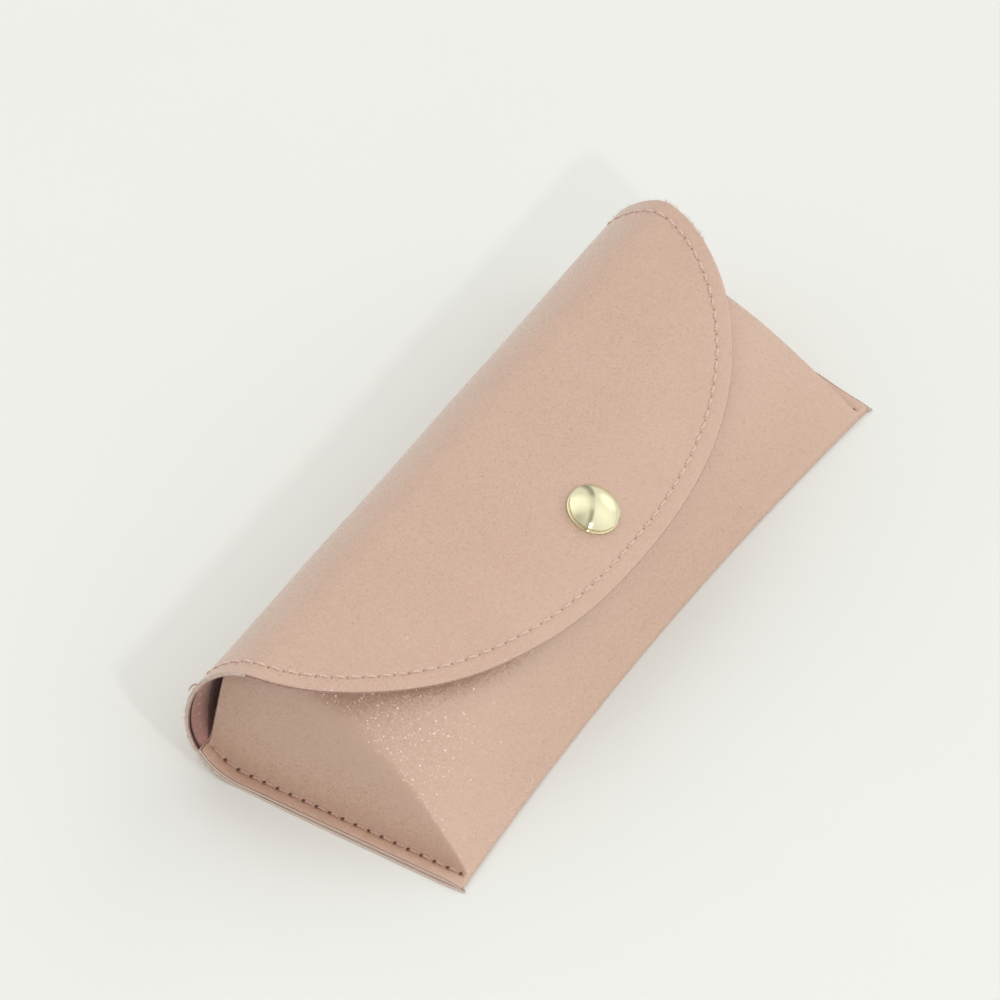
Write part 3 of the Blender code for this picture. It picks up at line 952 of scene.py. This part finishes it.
def turned(name, outline, material, steps=96):
    outline = np.asarray(outline, float)
    vertices, faces, rings = [], [], []
    for radius, height in outline:
        if radius < 1e-6:
            rings.append([len(vertices)])
            vertices.append((0, 0, height))
            continue
        rings.append(list(range(len(vertices), len(vertices) + steps)))
        for k in range(steps):
            turn = 2 * pi * k / steps
            vertices.append((radius * cos(turn), radius * sin(turn), height))
    for upper, lower in zip(rings[:-1], rings[1:]):
        for k in range(steps):
            n = (k + 1) % steps
            if len(upper) == 1:
                faces.append((upper[0], lower[k], lower[n]))
            elif len(lower) == 1:
                faces.append((upper[k], lower[0], upper[n]))
            else:
                faces.append((upper[k], lower[k], lower[n], upper[n]))
    part = meshObject(name, np.array(vertices), faces, None, [material])
    turn = Vector(snapAxis).to_track_quat("Z", "Y").to_matrix().to_4x4()
    part.matrix_world = Matrix.Translation(Vector(snapPoint) * mm) @ turn
    return part


def arc(centre, radius, fromDegrees, toDegrees, count):
    return [(centre[0] + radius * cos(radians(a)), centre[1] + radius * sin(radians(a)))
            for a in np.linspace(fromDegrees, toDegrees, count)]


def capOutline():
    domeRadius = snap["domeReach"] / sin(radians(snap["domeTilt"]))
    apex = snap["domeFoot"] + domeRadius * (1 - cos(radians(snap["domeTilt"])))
    tilts = np.linspace(0, radians(snap["domeTilt"]), 26)
    dome = [(domeRadius * sin(a), apex - domeRadius * (1 - cos(a))) for a in tilts]
    shoulder = arc((snap["domeReach"] - 0.29, snap["domeFoot"] - 0.40), 0.50, 50, -25, 14)
    bead = arc((snap["capRadius"] - 0.28, 0.27), 0.28, 120, -80, 18)
    return dome + shoulder + bead + [(5.4, 0.0), (snap["stem"], 0.0), (snap["stem"], -1.9), (0, -1.9)]


socketShape = [
    (1.7, -1.10), (4.1, -1.10), (4.45, -1.18), (4.6, -1.38), (4.6, -2.35), (4.5, -2.6), (4.2, -2.74),
    (3.7, -2.82), (3.45, -3.0), (3.38, -3.3), (3.38, -3.9), (3.3, -4.1), (3.12, -4.2), (2.9, -4.17),
    (2.72, -4.05), (2.68, -3.9), (2.68, -2.5), (1.7, -2.5), (1.7, -1.10)]
studShape = [
    (0, -2.8), (0.9, -2.8), (1.45, -2.84), (1.85, -2.94), (2.06, -3.10), (2.08, -3.24), (1.94, -3.38),
    (1.7, -3.5), (1.66, -4.3), (1.76, -4.44), (2.0, -4.5), (4.1, -4.54), (4.45, -4.62), (4.6, -4.76),
    (4.52, -4.9), (0, -4.9)]
rivetShape = [
    (0, -5.9), (1.0, -5.9), (1.0, -6.08), (3.9, -6.08), (4.15, -6.16), (4.2, -6.3), (4.0, -6.45),
    (2.6, -6.58), (1.1, -6.64), (0, -6.66)]
wireShape = [(2.2 + 0.2 * sin(2 * pi * k / 16), -3.85 + 0.2 * cos(2 * pi * k / 16)) for k in range(17)]
snapCap = turned("snapCapDome", capOutline(), gold)
snapSocket = turned("snapSocketRing", socketShape, gold)
snapWire = turned("snapSpringWire", wireShape, steel)
snapStud = turned("snapStud", studShape, gold)
snapRivet = turned("snapRivetBack", rivetShape, gold)
print("snap pressed on")

# The sheet bends at these two places. Each piece stands in for frame parts, which are hidden below; the
# pocket and snap parts are joined to what they move with, while the rear bend and flap pieces only have their
# placement baked in
lowerBend = sheetPoint(0.0, alongRear - bottomBend * radians(10)) * mm
upperBend = sheetPoint(0.0, alongTop + topBend * radians(5)) * mm


def bendAtRear(piece):
    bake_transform(piece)


def bendAtTop(piece):
    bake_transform(piece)


for piece in (rearLeather, rearLining, rearFibres, looseThread, *rearStitches.values(), *rearHoleShade.values()):
    bendAtRear(piece)
for piece in (flapLeather, flapLining, flapStitches, flapUnder, flapHoleShade, flapFibres):
    bendAtTop(piece)
for piece in (pocketLeather, pocketLining, *endStitches.values(), *endUnder.values(), *endHoleShade.values()):
    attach(piece, "pocket_body")
for piece in (snapStud, snapRivet):
    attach(piece, "pocket_body")
for piece in (snapCap, snapSocket, snapWire):
    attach(piece, "flap")

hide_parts("front_panel", "base_panel")
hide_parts("front_lining", "base_lining")
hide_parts("flap_spine")
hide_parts("spine_lining")
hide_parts("flap_cover")
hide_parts("flap_lining")
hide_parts("left_spine_stitching")
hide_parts("right_spine_stitching")
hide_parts("flap_edge_stitching")
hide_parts("left_end_stitching")
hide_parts("right_end_stitching")
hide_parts("snap_cap")
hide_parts("snap_socket")
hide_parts("socket_spring")
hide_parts("snap_stud")
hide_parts("stud_rivet")

studio = {
    "tableColour": (0.873, 0.883, 0.849),
    "tableReach": 4000,
    "tableTop": -0.02,
    "sky": 0.462,
    "skyTop": 0.11,
    "glows": [               # bright part of the tent: way, where it starts, strength
        ((0.90, -0.30, 0.32), -0.35, 0.44),
        ((0, 0.40, 0.92), 0.78, 0.42),
        ((0.90, -0.30, 0.32), 0.90, 0.45),
        ((-0.30, 0.94, 0.16), 0.30, 0.40),
        ((-0.10, -0.88, 0.46), 0.30, 0.30)],
    "gap": 0.60,
    "gapWay": (0.451, -0.796, -0.406),
    "gapMiddle": (0.44, -0.12, 0.89),
    "lampPlace": (-264, -363, 379),
    "lampSize": 34,
    "lampPower": 0.42,
    "lampThrow": 2.7,
    "smallPlaces": [
        (25, -486, 340), (-118, -443, 372), (120, -413, 400), (-59, -531, 248), (-190, -470, 300),
        (103, -572, 123), (-15, -565, 165), (-146, -530, 218), (200, -545, 90), (46, -535, 240),
        (285, -512, 60), (120, -574, 62)],
    "smallSize": 22,
    "smallPower": 0.0115,
}


def makeTable():
    finish, nodes, links, shader = newFinish("paleTable")
    faint = noiseTexture(nodes, links, coordinate(nodes), 60, 2.0)
    colour = studio["tableColour"]
    shade = tuple(0.985 * part for part in colour)
    links.new(mixed(nodes, links, faint, colour, shade), shader.inputs["Base Color"])
    shader.inputs["Roughness"].default_value = 0.7
    shader.inputs["Specular IOR Level"].default_value = 0.2
    reach = studio["tableReach"]
    corners = [(-reach, -reach), (reach, -reach), (reach, reach), (-reach, reach)]
    points = np.array([(x, y, studio["tableTop"]) for x, y in corners])
    table = meshObject("table", points, [(0, 1, 2, 3)], None, [finish])


def towards(nodes, links, way, fromLow, fromHigh, toLow, toHigh):
    length = sqrt(sum(part * part for part in way))
    unit = tuple(part / length for part in way)
    around = nodes.new("ShaderNodeTexCoord").outputs["Generated"]
    dot = worked(nodes, links, "ShaderNodeVectorMath", "DOT_PRODUCT", around, unit)
    return ranged(nodes, links, dot.outputs["Value"], fromLow, fromHigh, toLow, toHigh, "SMOOTHSTEP")


# The tent is brightest beyond the case's right end, with a soft panel overhead
# and a thin dark gap between the panels that the snap cap mirrors
def makeTent():
    world = bpy.data.worlds.new("lightTent")
    bpy.context.scene.world = world
    world.use_nodes = True
    nodes = world.node_tree.nodes
    links = world.node_tree.links
    background = nodes["Background"]
    background.inputs["Color"].default_value = (1.0, 1.0, 0.985, 1)
    top = studio["sky"] + studio["skyTop"]
    parts = [(towards(nodes, links, (0, 0, 1), -0.2, 1.0, studio["sky"], top), 1.0)]
    for way, start, strength in studio["glows"]:
        parts.append((towards(nodes, links, way, start, 1.0, 0.0, strength), 1.0))
    total = summed(nodes, links, parts)
    gapRight = towards(nodes, links, studio["gapWay"], -0.30, -0.06, 0.0, 1.0)
    gapLeft = towards(nodes, links, studio["gapWay"], -0.04, 0.08, 1.0, 0.0)
    clear = towards(nodes, links, studio["gapMiddle"], 0.86, 1.0, 1.0, 0.25)
    gap = worked(nodes, links, "ShaderNodeMath", "MULTIPLY", gapRight, gapLeft).outputs[0]
    deep = worked(nodes, links, "ShaderNodeMath", "MULTIPLY", gap, clear).outputs[0]
    fade = ranged(nodes, links, deep, 0.0, 1.0, 1.0, 1 - studio["gap"])
    strength = worked(nodes, links, "ShaderNodeMath", "MULTIPLY", total, fade).outputs[0]
    links.new(strength, background.inputs["Strength"])


def addLamp(name, place, size, power):
    lamp = bpy.data.lights.new(name, "AREA")
    lamp.shape = "DISK"
    lamp.size = size * mm
    lamp.energy = power
    # an even throw, so that the table is equally bright all over
    lamp.use_nodes = True
    emission = lamp.node_tree.nodes["Emission"]
    falloff = lamp.node_tree.nodes.new("ShaderNodeLightFalloff")
    falloff.inputs["Strength"].default_value = studio["lampThrow"]
    lamp.node_tree.links.new(falloff.outputs["Constant"], emission.inputs["Strength"])
    holder = bpy.data.objects.new(name, lamp)
    bpy.context.scene.collection.objects.link(holder)
    holder.location = Vector(place) * mm
    holder.rotation_euler = (-holder.location).to_track_quat("-Z", "Y").to_euler()
    return holder


def placeLamps():
    addLamp("windowLamp", studio["lampPlace"], studio["lampSize"], studio["lampPower"])
    # the small lamps light nothing but the leather, to make it glitter
    glittering = bpy.data.collections.new("glitteringLeather")
    for piece in (pocketLeather, rearLeather, flapLeather):
        glittering.objects.link(piece)
    for number, place in enumerate(studio["smallPlaces"]):
        small = addLamp("smallLamp%d" % number, place, studio["smallSize"], studio["smallPower"])
        small.light_linking.receiver_collection = glittering


view = {"turn": -57.986, "tilt": 45.455, "distance": 2049.7, "aim": (18.38, 20.29, 0.0), "lens": 324.0}


def placeCamera():
    camera = bpy.data.objects.new("camera", bpy.data.cameras.new("camera"))
    bpy.context.scene.collection.objects.link(camera)
    turn = radians(view["turn"])
    tilt = radians(view["tilt"])
    back = Vector((sin(turn) * cos(tilt), -cos(turn) * cos(tilt), sin(tilt)))
    camera.location = (Vector(view["aim"]) + back * view["distance"]) * mm
    camera.rotation_euler = back.to_track_quat("Z", "Y").to_euler()
    camera.data.lens = view["lens"]
    camera.data.sensor_width = 36.0
    camera.data.clip_end = 100
    bpy.context.scene.camera = camera


makeTable()
makeTent()
placeLamps()
placeCamera()
bpy.context.scene.view_settings.view_transform = "Standard"
print("table, light and camera set")
